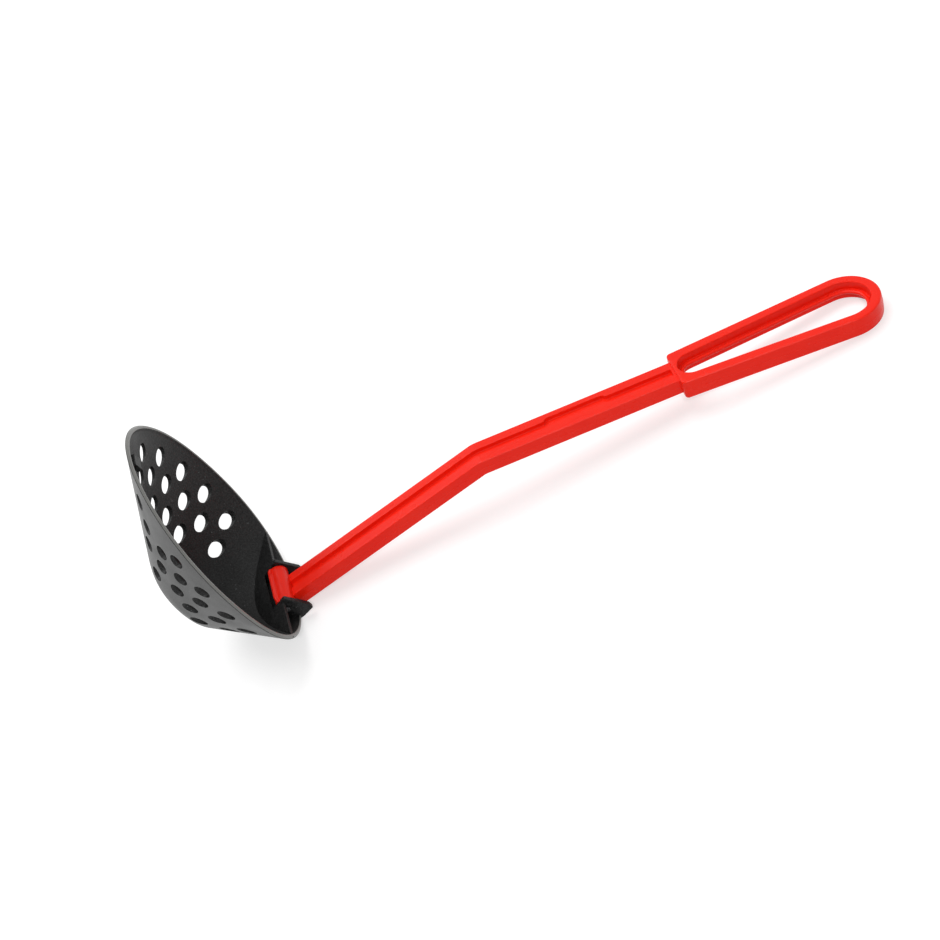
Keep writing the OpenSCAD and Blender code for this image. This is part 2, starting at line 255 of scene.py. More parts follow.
def newGroup(name, inputs, outputs):
    group = bpy.data.node_groups.new(name, "ShaderNodeTree")
    for socket, kind, value in inputs:
        made = group.interface.new_socket(socket, in_out="INPUT", socket_type=kind)
        if value is not None:
            made.default_value = value
    for socket, kind in outputs:
        group.interface.new_socket(socket, in_out="OUTPUT", socket_type=kind)
    return group, group.nodes.new("NodeGroupInput"), group.nodes.new("NodeGroupOutput")


# The fine texture of a spark-eroded mould, and the slow unevenness of the moulded skin
def makeGrainGroup():
    group, given, result = newGroup(
        "mouldGrain",
        [("Vector", "NodeSocketVector", None), ("Scale", "NodeSocketFloat", 3000.0),
         ("Flow", "NodeSocketFloat", mouldSkin["flow"])],
        [("Height", "NodeSocketFloat"), ("Unevenness", "NodeSocketFloat"),
         ("Speckle", "NodeSocketFloat")])
    links = group.links
    fine = place(group, "ShaderNodeTexNoise", {"Detail": 2.0, "Roughness": 0.6})
    coarse = place(group, "ShaderNodeTexNoise", {"Detail": 3.0, "Roughness": 0.5})
    height = place(group, "ShaderNodeMath", {1: mouldSkin["flowHeight"]}, operation="MULTIPLY_ADD")
    speckle = placeRange(group, mouldSkin["speckleRange"])
    links.new(given.outputs["Vector"], fine.inputs["Vector"])
    links.new(given.outputs["Scale"], fine.inputs["Scale"])
    links.new(given.outputs["Vector"], coarse.inputs["Vector"])
    links.new(given.outputs["Flow"], coarse.inputs["Scale"])
    links.new(coarse.outputs["Fac"], height.inputs[0])
    links.new(fine.outputs["Fac"], height.inputs[2])
    links.new(height.outputs["Value"], result.inputs["Height"])
    links.new(coarse.outputs["Fac"], result.inputs["Unevenness"])
    links.new(fine.outputs["Fac"], speckle.inputs["Value"])
    links.new(speckle.outputs["Result"], result.inputs["Speckle"])
    return group


# Specks of dust, and edges that handling has polished
def makeHandlingGroup():
    group, given, result = newGroup(
        "handlingMarks",
        [("Vector", "NodeSocketVector", None),
         ("Dust Scale", "NodeSocketFloat", handling["dustScale"]),
         ("Dust Amount", "NodeSocketFloat", 0.2), ("Edge Amount", "NodeSocketFloat", 0.5)],
        [("Dust", "NodeSocketFloat"), ("Edge", "NodeSocketFloat")])
    links = group.links
    specks = place(group, "ShaderNodeTexNoise", {"Detail": 1.0, "Roughness": 0.4})
    patches = place(group, "ShaderNodeTexNoise", {"Detail": 2.0, "Roughness": 0.5,
                                                  "Scale": handling["patchScale"]})
    pick = placeRange(group, handling["speckRange"])
    spread = placeRange(group, handling["patchRange"])
    dust = place(group, "ShaderNodeMath", operation="MULTIPLY")
    amount = place(group, "ShaderNodeMath", operation="MULTIPLY")
    surface = place(group, "ShaderNodeNewGeometry")
    ridge = placeRange(group, handling["edgeRange"])
    edge = place(group, "ShaderNodeMath", operation="MULTIPLY")
    links.new(given.outputs["Vector"], specks.inputs["Vector"])
    links.new(given.outputs["Dust Scale"], specks.inputs["Scale"])
    links.new(given.outputs["Vector"], patches.inputs["Vector"])
    links.new(specks.outputs["Fac"], pick.inputs["Value"])
    links.new(patches.outputs["Fac"], spread.inputs["Value"])
    links.new(pick.outputs["Result"], dust.inputs[0])
    links.new(spread.outputs["Result"], dust.inputs[1])
    links.new(dust.outputs["Value"], amount.inputs[0])
    links.new(given.outputs["Dust Amount"], amount.inputs[1])
    links.new(surface.outputs["Pointiness"], ridge.inputs["Value"])
    links.new(ridge.outputs["Result"], edge.inputs[0])
    links.new(given.outputs["Edge Amount"], edge.inputs[1])
    links.new(amount.outputs["Value"], result.inputs["Dust"])
    links.new(edge.outputs["Value"], result.inputs["Edge"])
    return group


grainGroup = makeGrainGroup()
handlingGroup = makeHandlingGroup()


# A moulded plastic: two near shades blended by the skin's unevenness or by its speckle, with dust,
# grain and worn edges
def makePlastic(name):
    finish = plastics[name]
    material = bpy.data.materials.new(name)
    material.use_nodes = True
    tree = material.node_tree
    links = tree.links
    skin = tree.nodes["Principled BSDF"]
    skin.inputs["IOR"].default_value = mouldSkin["refraction"]
    skin.inputs["Specular IOR Level"].default_value = finish["specular"]
    coordinates = place(tree, "ShaderNodeTexCoord")
    mould = place(tree, "ShaderNodeGroup", node_tree=grainGroup)
    mould.inputs["Scale"].default_value = finish["grain"]
    marks = place(tree, "ShaderNodeGroup", node_tree=handlingGroup)
    marks.inputs["Dust Amount"].default_value = finish["dust"]
    marks.inputs["Edge Amount"].default_value = finish["edge"]
    shades = place(tree, "ShaderNodeMix",
                   {"A": (*finish["shade"], 1), "B": (*finish["otherShade"], 1)}, data_type="RGBA")
    dusted = place(tree, "ShaderNodeMix", {"B": (*handling["dust"], 1)}, data_type="RGBA")
    swing = mouldSkin["roughnessSwing"]
    rough = placeRange(tree, mouldSkin["flowRange"],
                       (finish["roughness"] - swing, finish["roughness"] + swing))
    polished = place(tree, "ShaderNodeMath", {1: -handling["edgePolish"]},
                     operation="MULTIPLY_ADD")
    relief = place(tree, "ShaderNodeBump", {"Distance": finish["bump"]})
    for group in (mould, marks):
        links.new(coordinates.outputs["Object"], group.inputs["Vector"])
    links.new(mould.outputs[finish["blend"]], shades.inputs["Factor"])
    links.new(shades.outputs["Result"], dusted.inputs["A"])
    links.new(marks.outputs["Dust"], dusted.inputs["Factor"])
    links.new(dusted.outputs["Result"], skin.inputs["Base Color"])
    links.new(mould.outputs["Unevenness"], rough.inputs["Value"])
    links.new(marks.outputs["Edge"], polished.inputs[0])
    links.new(rough.outputs["Result"], polished.inputs[2])
    links.new(polished.outputs["Value"], skin.inputs["Roughness"])
    links.new(mould.outputs["Height"], relief.inputs["Height"])
    links.new(relief.outputs["Normal"], skin.inputs["Normal"])
    return material


def makeSteel():
    material = bpy.data.materials.new("pinSteel")
    material.use_nodes = True
    tree = material.node_tree
    links = tree.links
    skin = tree.nodes["Principled BSDF"]
    skin.inputs["Base Color"].default_value = (*pinFinish["steel"], 1)
    skin.inputs["Metallic"].default_value = 1.0
    coordinates = place(tree, "ShaderNodeTexCoord")
    stretch = place(tree, "ShaderNodeMapping", {"Scale": pinFinish["brushStretch"]})
    mould = place(tree, "ShaderNodeGroup", node_tree=grainGroup)
    mould.inputs["Scale"].default_value = pinFinish["brushing"]
    rough = placeRange(tree, (0.0, 1.0), (pinFinish["roughness"] - pinFinish["smoother"],
                                          pinFinish["roughness"] + pinFinish["rougher"]))
    relief = place(tree, "ShaderNodeBump", {"Distance": pinFinish["bump"]})
    links.new(coordinates.outputs["Object"], stretch.inputs["Vector"])
    links.new(stretch.outputs["Vector"], mould.inputs["Vector"])
    links.new(mould.outputs["Unevenness"], rough.inputs["Value"])
    links.new(rough.outputs["Result"], skin.inputs["Roughness"])
    links.new(mould.outputs["Height"], relief.inputs["Height"])
    links.new(relief.outputs["Normal"], skin.inputs["Normal"])
    return material


handlePlastic = makePlastic("handlePlastic")
bowlOutside = makePlastic("bowlOutside")
bowlInside = makePlastic("bowlInside")
# the rim's finish is the black plastic painted lighter grey, a painted highlight on the rim
rimPaintedHighlight = makePlastic("rimPaintedHighlight")
bowlFinishes = [bowlOutside, bowlInside, rimPaintedHighlight]
outsideIndex, insideIndex, rimHighlightIndex = 0, 1, 2
print("stage: finishes")


# The bowl: the mouth is a circle with small waves, egg shaped, the flank is straight and the
# bottom rounded. Its blend and its bottomRings are shares.
bowl = {
    "mouthRadius": 63.3, "stretch": 4.1, "egg": 1.0, "fill": 0.46, "point": 0.29,
    "axisToRim": 11.9, "axisToMouth": 2.1,
    "depth": 40.4, "baseRadius": 19.8, "baseStretch": 2.2, "baseShift": 18.2, "crown": 2.8,
    "blend": 0.12,
    "wall": 1.5, "sideWall": 0.9,
    "columns": 180, "flankRows": 18, "blendRows": 8, "bottomRings": (0.16, 0.32, 0.48, 0.62),
}
rim = {
    "bevelWidth": 1.15, "bevelHeight": 1.0, "landWidth": 1.05, "lipWidth": 0.9, "lipHeight": 1.4,
    "rounding": 0.3, "steps": 3,
}
# Where the skins' columns end: how far inside the mouth's edge, and how far below its plane
outerStart = (0.0, rim["bevelHeight"])
innerStart = (rim["bevelWidth"] + rim["landWidth"] + rim["lipWidth"], rim["lipHeight"])
middleStart = ((outerStart[0] + innerStart[0]) / 2, (outerStart[1] + innerStart[1]) / 2)


def mouth(a):  # radius of the mouth's outer edge; angle 0 is at the catch lug
    return (bowl["mouthRadius"] + bowl["stretch"] * cos(2 * a) + bowl["egg"] * cos(3 * a)
            - bowl["fill"] * cos(4 * a) + bowl["point"] * cos(5 * a))


def baseEdge(a):  # radius of the rounded bottom's outer edge
    return bowl["baseRadius"] + bowl["baseStretch"] * cos(2 * a)


mouthHeight = mouth(pi) - bowl["axisToRim"]
baseHeight = mouthHeight - bowl["baseShift"]


# A point at a depth below the mouth's plane, at a radius about a centre at a height
def spot(depth, radius, height, a):
    return Vector((bowl["axisToMouth"] - depth, radius * sin(a), height + radius * cos(a)))


def rimEdge(a, start):  # on the rim's section
    return spot(start[1], mouth(a) - start[0], mouthHeight, a)


def wallFoot(a, side, down):  # where the flank would meet the bottom, without the round
    return spot(bowl["depth"] - down, baseEdge(a) - side, baseHeight, a)


def baseRing(a, side, down, k):  # on the bottom, at share k of the way out from its middle
    return spot(bowl["depth"] - down + bowl["crown"] * (1 - k * k),
                (baseEdge(a) - side) * k, baseHeight, a)


# One skin of the bowl at angle a, from near the middle of the bottom up to the rim
def skinColumn(a, side, down, start):
    top, corner = rimEdge(a, start), wallFoot(a, side, down)
    bendStart = baseRing(a, side, down, 1 - 2 * bowl["blend"])
    bendEnd = mix(corner, top, bowl["blend"])
    rings = [baseRing(a, side, down, k) for k in bowl["bottomRings"]]
    rings += [curve(bendStart, corner, bendEnd, i / bowl["blendRows"])
              for i in range(bowl["blendRows"] + 1)]
    rows = bowl["flankRows"]
    toRim = rows + 0.5  # the last row stays half a step short of the rim
    rings += [mix(bendEnd, top, i / toRim) for i in range(1, rows + 1)]
    return rings


def makeShell():
    columns = []
    for i in range(bowl["columns"]):
        a = 2 * pi * i / bowl["columns"]
        outer = skinColumn(a, 0, 0, outerStart)
        inner = skinColumn(a, bowl["sideWall"], bowl["wall"], innerStart)
        corners = [outer[-1], rimEdge(a, outerStart), rimEdge(a, (rim["bevelWidth"], 0)),
                   rimEdge(a, (rim["bevelWidth"] + rim["landWidth"], 0)),
                   rimEdge(a, innerStart), inner[-1]]
        turned = roundedPath(corners, [0] + 4 * [rim["rounding"]] + [0], rim["steps"])
        columns.append(outer + turned[1:-1] + inner[::-1])
        outerCount = len(outer)
    n = len(columns[0])
    points = [p for column in columns for p in column]
    base = bowl["axisToMouth"] - bowl["depth"] - bowl["crown"]
    points += [Vector((base, 0, baseHeight)), Vector((base + bowl["wall"], 0, baseHeight))]
    outerTip, innerTip = len(points) - 2, len(points) - 1
    outsideRows = outerCount + rim["steps"]
    rimRows = outsideRows + 2 * (rim["steps"] + 1)
    faces, indices = [], []
    for c in range(bowl["columns"]):
        here, there = c * n, ((c + 1) % bowl["columns"]) * n
        faces.append([outerTip, here, there])
        indices.append(outsideIndex)
        for j in range(n - 1):
            faces.append([here + j, there + j, there + j + 1, here + j + 1])
            # the rim's rows take the lighter grey of the painted rim highlight
            indices.append(outsideIndex if j < outsideRows
                           else rimHighlightIndex if j < rimRows else insideIndex)
        faces.append([innerTip, there + n - 1, here + n - 1])
        indices.append(insideIndex)
    shell = makeObject("bowlShell", points, faces, bowlFinishes)
    shell.data.polygons.foreach_set("material_index", indices)
    turnOutwards(shell)
    return shell


# The hinge seat and the catch lug, which are moulded with the bowl
seat = {
    "cheekInside": 13.4, "cheek": 2.5, "cheekOut": 8.0, "tipHeight": 3.0, "tipDrop": 8.5,
    "wingHeight": 6.0, "wing": 1.8, "wingDrop": 0.4, "lean": 13.5, "sweep": 7.35,
    "topOut": 1.2, "topRise": 0.8, "tipBlunt": 0.1,
    "footOut": 1.5, "footRise": 1.1, "rootRise": 1.0,
    "rounding": 0.35, "bore": 1.48, "boreOver": 2.0, "footSteps": 48, "rootSteps": 20,
    "leastReach": 0.02, "wingRounds": 4,
    "flatWidth": 17.2, "flatStart": 0.5, "flatTop": -9.6, "flatDepth": 12.0,
}
catch = {
    "width": 8.4, "reach": 11.0, "length": 4.7, "thick": 2.6, "web": 2.4, "webSink": 0.4,
    "drop": 0.8, "rounding": 0.3,
}
leanAngle = radians(seat["lean"])
leanEdge = Vector((bowl["axisToMouth"] - seat["wingDrop"], 0, seat["wingHeight"]))
leanIn = Vector((-cos(leanAngle), 0, -sin(leanAngle)))
leanUp = Vector((-sin(leanAngle), 0, cos(leanAngle)))


def wallMiddle(a, s):  # in the thickness of the wall, at share s of the way down
    return mix(rimEdge(a, middleStart), wallFoot(a, bowl["sideWall"] / 2, bowl["wall"] / 2), s)


def wallMiddleBeside(y, s):  # the same on the hinge side, at distance y from the middle
    radius = ((mouth(pi) - middleStart[0]) * (1 - s)
              + (baseEdge(pi) - bowl["sideWall"] / 2) * s)
    return Vector((wallMiddle(pi, s).x, 0,
                   mouthHeight - bowl["baseShift"] * s - sqrt(radius * radius - y * y)))


def lugWall(x):  # the same at the catch lug, at x
    top, low = wallMiddle(0, 0), wallMiddle(0, 1)
    return mix(top, low, (x - top.x) / (low.x - top.x))


# Where the middle of the rim is as high as the leaning wall's edge, found in a few rounds
def wingAngle():
    a = pi
    for _ in range(seat["wingRounds"]):
        a = pi - acos((mouthHeight - seat["wingHeight"]) / (mouth(a) - middleStart[0]))
    return a


# The outline of the leaning wall on a plane that lies below its top face, with the notch for
# the barrel
def wingOutline(below):
    edge = leanEdge - leanUp * below
    start = wingAngle()
    outline = []
    for i in range(seat["footSteps"] + 1):
        a = start + (2 * pi - 2 * start) * i / seat["footSteps"]
        top, low = wallMiddle(a, 0), wallMiddle(a, 1)
        down = (leanEdge - leanUp * seat["wing"] / 2 - top).dot(leanUp)
        p = mix(top, low, max(0.0, down / (low - top).dot(leanUp)))
        reach = max(seat["leastReach"], (p - leanEdge).dot(leanIn))
        outline.append(edge + leanIn * reach + Vector((0, p.y, 0)))
    half = -edge.dot(leanIn)
    notch = half + sqrt(half * half + seat["sweep"] ** 2 - edge.dot(edge))
    side = Vector((0, seat["cheekInside"], 0))
    last, first = outline[-1].y, outline[0].y
    outline += [edge + Vector((0, last, 0)), edge + (side if last > 0 else -side),
                edge + leanIn * notch + (side if last > 0 else -side),
                edge + leanIn * notch + (side if first > 0 else -side),
                edge + (side if first > 0 else -side), edge + Vector((0, first, 0))]
    return outline


# A cheek that holds the pin, on one side of the barrel
def makeCheek(side):
    front = bowl["axisToMouth"]
    tip = front + seat["cheekOut"]
    low = bowl["sideWall"] - bowl["axisToRim"]
    outline = [(front + seat["topOut"], seat["wingHeight"] + seat["topRise"]),
               (tip - seat["tipBlunt"], seat["tipHeight"] - seat["tipDrop"]),
               (tip, -seat["tipDrop"]), (front + seat["footOut"], low + seat["footRise"]),
               (0, low + seat["rootRise"]), (0, seat["wingHeight"])]
    near = Vector((0, side * seat["cheekInside"], 0))
    far = Vector((0, side * (seat["cheekInside"] + seat["cheek"]), 0))
    points = [Vector((x, 0, z)) for x, z in outline]
    return makeBlock("cheek", [p + near for p in points], [p + far for p in points],
                     seat["rounding"], bowlFinishes, insideIndex)


# What joins the cheek to the bowl's wall, below the leaning wall
def makeCheekRoot(side):
    middle = seat["cheekInside"] + seat["cheek"] / 2
    under = [wallMiddleBeside(middle, i / seat["rootSteps"]) for i in range(seat["rootSteps"] + 1)]
    outline = [leanEdge - leanUp * seat["wing"] / 2]
    outline += [p for p in under if (p - leanEdge).dot(leanUp) < 0]
    near = Vector((0, side * seat["cheekInside"], 0))
    far = Vector((0, side * (seat["cheekInside"] + seat["cheek"]), 0))
    return makeBlock("cheekRoot", [p + near for p in outline], [p + far for p in outline],
                     0, bowlFinishes, insideIndex)


def makeCatchLug():
    top = bowl["axisToMouth"] - catch["drop"]
    low = top - catch["thick"]
    webLow = low - catch["reach"] / 2
    near = mouthHeight + mouth(0) - catch["reach"]
    plate = [Vector((top, 0, near)), Vector((top, 0, near + catch["length"])), lugWall(low),
             Vector((low, 0, near))]
    webTop = low + catch["webSink"]
    web = [Vector((webTop, 0, near + catch["length"] / 4)), lugWall(webTop), lugWall(webLow)]
    blocks = []
    for name, outline, width in (("lug", plate, catch["width"]), ("lugWeb", web, catch["web"])):
        half = Vector((0, width / 2, 0))
        blocks.append(makeBlock(name, [p - half for p in outline], [p + half for p in outline],
                                catch["rounding"], bowlFinishes, insideIndex))
    return blocks


# The drain holes, in rows down the wall that sink away from the lug
drainHoles = {
    "diameter": 8.0, "reach": 9.5, "sides": 40,
    # each row's share of the way down the wall at the lug, and how far it sinks by fallAngle
    "starts": (0.2, 0.36, 0.555, 0.785), "falls": (0.08, 0.15, 0.275, 0.4), "fallAngle": 100.0,
    # angles from the lug, row by row; the badge side's first row leaves a gap after its first hole
    "farSide": ((31, 51.5, 73, 95.5, 118), (22.5, 39, 57.5, 78.5, 100.5, 123),
                (21, 38.5, 58.5, 79), (29,)),
    "badgeSide": ((17, 51.5, 73, 95.5, 118), (22.5, 39, 57.5, 78.5, 100.5, 123),
                  (21, 38.5, 58.5, 79, 103), (29,)),
}


def wallAt(a, s):  # on the outside of the flank, at share s of the way down
    return mix(rimEdge(a, outerStart), wallFoot(a, 0, 0), s)


def holePlaces():
    places = []
    for side, rows in ((1, drainHoles["farSide"]), (-1, drainHoles["badgeSide"])):
        for row, start, fall in zip(rows, drainHoles["starts"], drainHoles["falls"]):
            for angle in row:
                down = start + fall * (angle / drainHoles["fallAngle"]) ** 2
                places.append(wallAt(radians(side * angle), down))
    return places


# Geometry Nodes: a straight punch at each place, lying along the way the bowl is deep
def makePunchTree():
    tree = bpy.data.node_groups.new("drainHolePunches", "GeometryNodeTree")
    sockets = {}
    for name, kind in (("Places", "NodeSocketGeometry"), ("Hole Diameter", "NodeSocketFloat"),
                       ("Punch Reach", "NodeSocketFloat"), ("Sides", "NodeSocketInt"),
                       ("Hole Finish", "NodeSocketMaterial")):
        sockets[name] = tree.interface.new_socket(name, in_out="INPUT", socket_type=kind).identifier
    tree.interface.new_socket("Punches", in_out="OUTPUT", socket_type="NodeSocketGeometry")
    given, result = tree.nodes.new("NodeGroupInput"), tree.nodes.new("NodeGroupOutput")
    radius = place(tree, "ShaderNodeMath", {1: 0.5}, operation="MULTIPLY")
    depth = place(tree, "ShaderNodeMath", {1: 2.0}, operation="MULTIPLY")  # reaches both ways
    punch = tree.nodes.new("GeometryNodeMeshCylinder")
    spread = place(tree, "GeometryNodeInstanceOnPoints", {"Rotation": (0, pi / 2, 0)})
    real = tree.nodes.new("GeometryNodeRealizeInstances")
    finish = tree.nodes.new("GeometryNodeSetMaterial")
    links = tree.links
    links.new(given.outputs["Hole Diameter"], radius.inputs[0])
    links.new(given.outputs["Punch Reach"], depth.inputs[0])
    links.new(given.outputs["Sides"], punch.inputs["Vertices"])
    links.new(radius.outputs["Value"], punch.inputs["Radius"])
    links.new(depth.outputs["Value"], punch.inputs["Depth"])
    links.new(given.outputs["Places"], spread.inputs["Points"])
    links.new(punch.outputs["Mesh"], spread.inputs["Instance"])
    links.new(spread.outputs["Instances"], real.inputs["Geometry"])
    links.new(real.outputs["Geometry"], finish.inputs["Geometry"])
    links.new(given.outputs["Hole Finish"], finish.inputs["Material"])
    links.new(finish.outputs["Geometry"], result.inputs["Punches"])
    return tree, sockets


def makePunches():
    tree, sockets = makePunchTree()
    punches = makeObject("drainHolePunches", holePlaces(), [], bowlFinishes)
    step = punches.modifiers.new("Punches", "NODES")
    step.node_group = tree
    step[sockets["Hole Diameter"]] = drainHoles["diameter"]
    step[sockets["Punch Reach"]] = drainHoles["reach"]
    step[sockets["Sides"]] = drainHoles["sides"]
    step[sockets["Hole Finish"]] = bowlInside
    bakeModifiers(punches)
    return punches


def makeBowl():
    shell = makeShell()
    wing = makeBlock("leaningWall", wingOutline(0), wingOutline(seat["wing"]), seat["rounding"],
                     bowlFinishes, insideIndex)
    parts = [wing, *makeCatchLug()]
    for side in (-1, 1):
        parts += [makeCheek(side), makeCheekRoot(side)]
    combine(shell, parts, "UNION")
    bore = makeRod("pinBore", seat["bore"], seat["cheekInside"] + seat["cheek"] + seat["boreOver"],
                   bowlFinishes, insideIndex)
    low = Vector((seat["flatStart"], -seat["flatWidth"] / 2, seat["flatTop"]))
    square = [low, low + Vector((seat["flatDepth"], 0, 0)),
              low + Vector((seat["flatDepth"], 0, seat["flatDepth"])),
              low + Vector((0, 0, seat["flatDepth"]))]
    along = Vector((0, seat["flatWidth"], 0))
    flat = makeBlock("stopSeat", square, [p + along for p in square], 0, bowlFinishes, insideIndex)
    combine(shell, [bore, flat, makePunches()], "DIFFERENCE")
    return shell


bowlShell = makeBowl()
finishPiece(bowlShell, "bowl", "bowl")
print("stage: bowl")


# The handle: two grooved bars with an elbow, the hinge barrel and the hanging loop
bars = {
    "lower": 122.8, "upper": 107.7, "bend": 16.7, "width": 16.6, "thick": 8.6, "drop": 0.8,
    "draft": 0.16, "edge": 0.65, "groove": 5.2, "grooveDepth": 2.2, "grooveDraft": 0.22,
    "grooveEdge": 0.3, "grooveRoot": 0.5, "partingHalf": 0.12, "partingProud": 0.07,
    "elbowRadius": 14.0, "elbowSteps": 6, "topStart": 3.9, "lowStart": 8.1, "grooveEnd": 1.1,
    "overlap": 0.8, "shallow": 0.03,
    "rampFoot": 0.3, "startRamp": (0.25, 0.6), "endRamp": (0.5, 0.2),
    "lowerStations": (30, 60, 90), "upperStations": (12, 24, 84, 96),
    "pocketAt": 37.4, "pocketLength": 34.4, "pocketExtra": 2.0, "pocketSteps": 10, "pocketGap": 0.4,
}
# The mark that the moulder's gate left in the floor of the top groove
gate = {"at": 22.0, "radius": 0.8, "height": 0.35, "sink": 0.3, "edge": 0.12, "sides": 20}
barrel = {
    "radius": 5.1, "length": 26.2, "bore": 1.58, "boreOver": 1.0, "edge": 0.3, "edgeSteps": 3,
    "lipRadius": 7.05, "lipAt": 110.0, "lip": 1.7, "lipInset": 0.6,
    "lipGap": 0.05,  # this one in radians
    "lipEndDrop": 1.2, "lipEndLength": 4.4, "lipEndSteps": 4, "points": 96, "tipSteps": 8,
}
loop = {
    "shoulder": 13.4, "shoulderRadius": 2.2, "length": 91.5, "endRadius": 19.1, "band": 5.45,
    "openingAt": 2.6, "openingRadius": 7.6, "rise": 1.4, "fall": 0.6, "edge": 1.1,
    "innerEdge": 0.7, "draft": 0.16, "flange": 2.6, "web": 1.4, "bead": 1.1, "root": 0.5,
    "face": 1.5, "innerFace": 1.0,
    "frontPoints": 6, "cornerPoints": 8, "flankPoints": 20, "endPoints": 72, "beadPoints": 9,
}
bendAngle = radians(bars["bend"])
elbow = Vector((bars["lower"], 0, -bars["drop"]))
alongUpper = Vector((cos(bendAngle), 0, -sin(bendAngle)))
upUpper = Vector((sin(bendAngle), 0, cos(bendAngle)))
acrossBar = Vector((0, 1, 0))


# The bars' section, seen along them: y across and z down from the top face
def barSection(topDepth, lowDepth, farWall):
    half, thick, draft = bars["width"] / 2, bars["thick"], bars["draft"]
    groove, slope = bars["groove"] / 2, bars["grooveDraft"]
    waist, proud = bars["partingHalf"], bars["partingProud"]
    edge, mouthEdge, root = bars["edge"], bars["grooveEdge"], bars["grooveRoot"]
    corners = [
        (-groove, 0, mouthEdge), (-groove + slope, -topDepth, root),
        (farWall - slope, -topDepth, root), (farWall, 0, mouthEdge),
        (half - draft, 0, edge), (half, waist - thick / 2, 0), (half + proud, -thick / 2, 0),
        (half, -waist - thick / 2, 0), (half - draft, -thick, edge),
        (groove, -thick, mouthEdge), (groove - slope, lowDepth - thick, root),
        (-groove + slope, lowDepth - thick, root), (-groove, -thick, mouthEdge),
        (-half + draft, -thick, edge), (-half, -waist - thick / 2, 0),
        (-half - proud, -thick / 2, 0), (-half, waist - thick / 2, 0), (-half + draft, 0, edge),
    ]
    return roundedPath([Vector((y, z)) for y, z, _ in corners], [size for _, _, size in corners],
                       meshing["sectionSteps"])


def pocketWall(s):  # the far wall of the top groove, at s along the upper bar
    groove, extra = bars["groove"] / 2, bars["pocketExtra"]
    radius = groove + extra / 2
    first, last = bars["pocketAt"] + radius, bars["pocketAt"] + bars["pocketLength"] - radius
    beyond = max(first - s, s - last, 0)
    return max(groove, extra / 2 + sqrt(max(0, radius * radius - beyond * beyond)))


# Stations: where the section stands, which way is up there, and the grooves' depths and far wall
def barStations():
    deep, shallow, groove = bars["grooveDepth"], bars["shallow"], bars["groove"] / 2
    nearlyDeep = deep - bars["rampFoot"]
    up = Vector((0, 0, 1))
    tangent = bars["elbowRadius"] * tan(bendAngle / 2)
    rampStart, rampStop = [bars["lowStart"] + step for step in bars["startRamp"]]
    lowGroove = [(bars["topStart"], shallow), (bars["lowStart"], shallow),
                 (rampStart, nearlyDeep), (rampStop, deep)]
    lowGroove += [(x, deep) for x in (*bars["lowerStations"], bars["lower"] - tangent)]
    stations = [(Vector((x, 0, -bars["drop"])), up, deep, low, groove) for x, low in lowGroove]
    pivot = Vector((bars["lower"] - tangent, 0, -bars["drop"] - bars["elbowRadius"]))
    for i in range(1, bars["elbowSteps"]):
        turn = bendAngle * i / bars["elbowSteps"]
        up = Vector((sin(turn), 0, cos(turn)))
        stations.append((pivot + up * bars["elbowRadius"], up, deep, deep, groove))
    radius = groove + bars["pocketExtra"] / 2
    first, last = bars["pocketAt"], bars["pocketAt"] + bars["pocketLength"]
    steps, gap = bars["pocketSteps"], bars["pocketGap"]
    bow = [radius * (1 - cos(pi / 2 * i / steps)) for i in range(steps + 1)]
    places = [tangent] + [s for s in bars["upperStations"] if s < first]
    places += [first - gap] + [first + b for b in bow] + [last - b for b in reversed(bow)]
    places += [last + gap] + [s for s in bars["upperStations"] if s > last]
    stations += [(elbow + alongUpper * s, upUpper, deep, deep, pocketWall(s)) for s in places]
    end = bars["upper"] - bars["grooveEnd"]
    rampStart, rampStop = [end - step for step in bars["endRamp"]]
    for s, depth in ((rampStart, deep), (rampStop, nearlyDeep), (end, shallow),
                     (bars["upper"] + bars["overlap"], shallow)):
        stations.append((elbow + alongUpper * s, upUpper, depth, depth, groove))
    return stations


def makeBars():
    rings = [[origin + acrossBar * p.x + up * p.y for p in barSection(top, low, far)]
             for origin, up, top, low, far in barStations()]
    return makeRings("handleMoulding", rings, [handlePlastic])


# The barrel's outline, drawn in by inset, with the catch lip reaching out to lipRadius
def barrelRing(y, inset, lipRadius):
    lip, radius = barrel["lip"] / 2 - inset * barrel["lipInset"], barrel["radius"] - inset
    mid = radians(barrel["lipAt"])
    out, aside = Vector((cos(mid), 0, sin(mid))), Vector((-sin(mid), 0, cos(mid)))
    spread = asin(lip / radius) + barrel["lipGap"]
    ring = []
    for i in range(barrel["points"] + 1):
        a = mid + spread + (2 * pi - 2 * spread) * i / barrel["points"]
        ring.append(Vector((radius * cos(a), y, radius * sin(a))))
    centre = out * (lipRadius - inset - lip)
    for i in range(barrel["tipSteps"] + 1):
        a = -pi / 2 + pi * i / barrel["tipSteps"]
        ring.append(centre + out * lip * cos(a) + aside * lip * sin(a) + acrossBar * y)
    return ring


# The barrel from its ends to its middle: a rounded edge, and the lip rising to its full reach
def makeBarrel():
    half, edge, length = barrel["length"] / 2, barrel["edge"], barrel["lipEndLength"]
    full, low = barrel["lipRadius"], barrel["lipRadius"] - barrel["lipEndDrop"]
    edgeSteps, lipSteps = barrel["edgeSteps"], barrel["lipEndSteps"]
    stations = [(half, edge, low)]
    for k in range(1, edgeSteps + 1):
        turn = pi / 2 * k / edgeSteps
        stations.append((half - edge + edge * cos(turn), edge * (1 - sin(turn)), low))
    for k in range(1, lipSteps + 1):
        turn = pi / 2 * k / lipSteps
        stations.append((half - length * k / lipSteps, 0, mix(low, full, sin(turn))))
    rings = [barrelRing(-y, inset, reach) for y, inset, reach in stations]
    rings += [barrelRing(y, inset, reach) for y, inset, reach in reversed(stations)]
    return makeRings("barrel", rings, [handlePlastic])


def arc(centre, radius, start, stop, count):
    return [centre + radius * Vector((cos(start + (stop - start) * i / count),
                                      sin(start + (stop - start) * i / count)))
            for i in range(count + 1)]


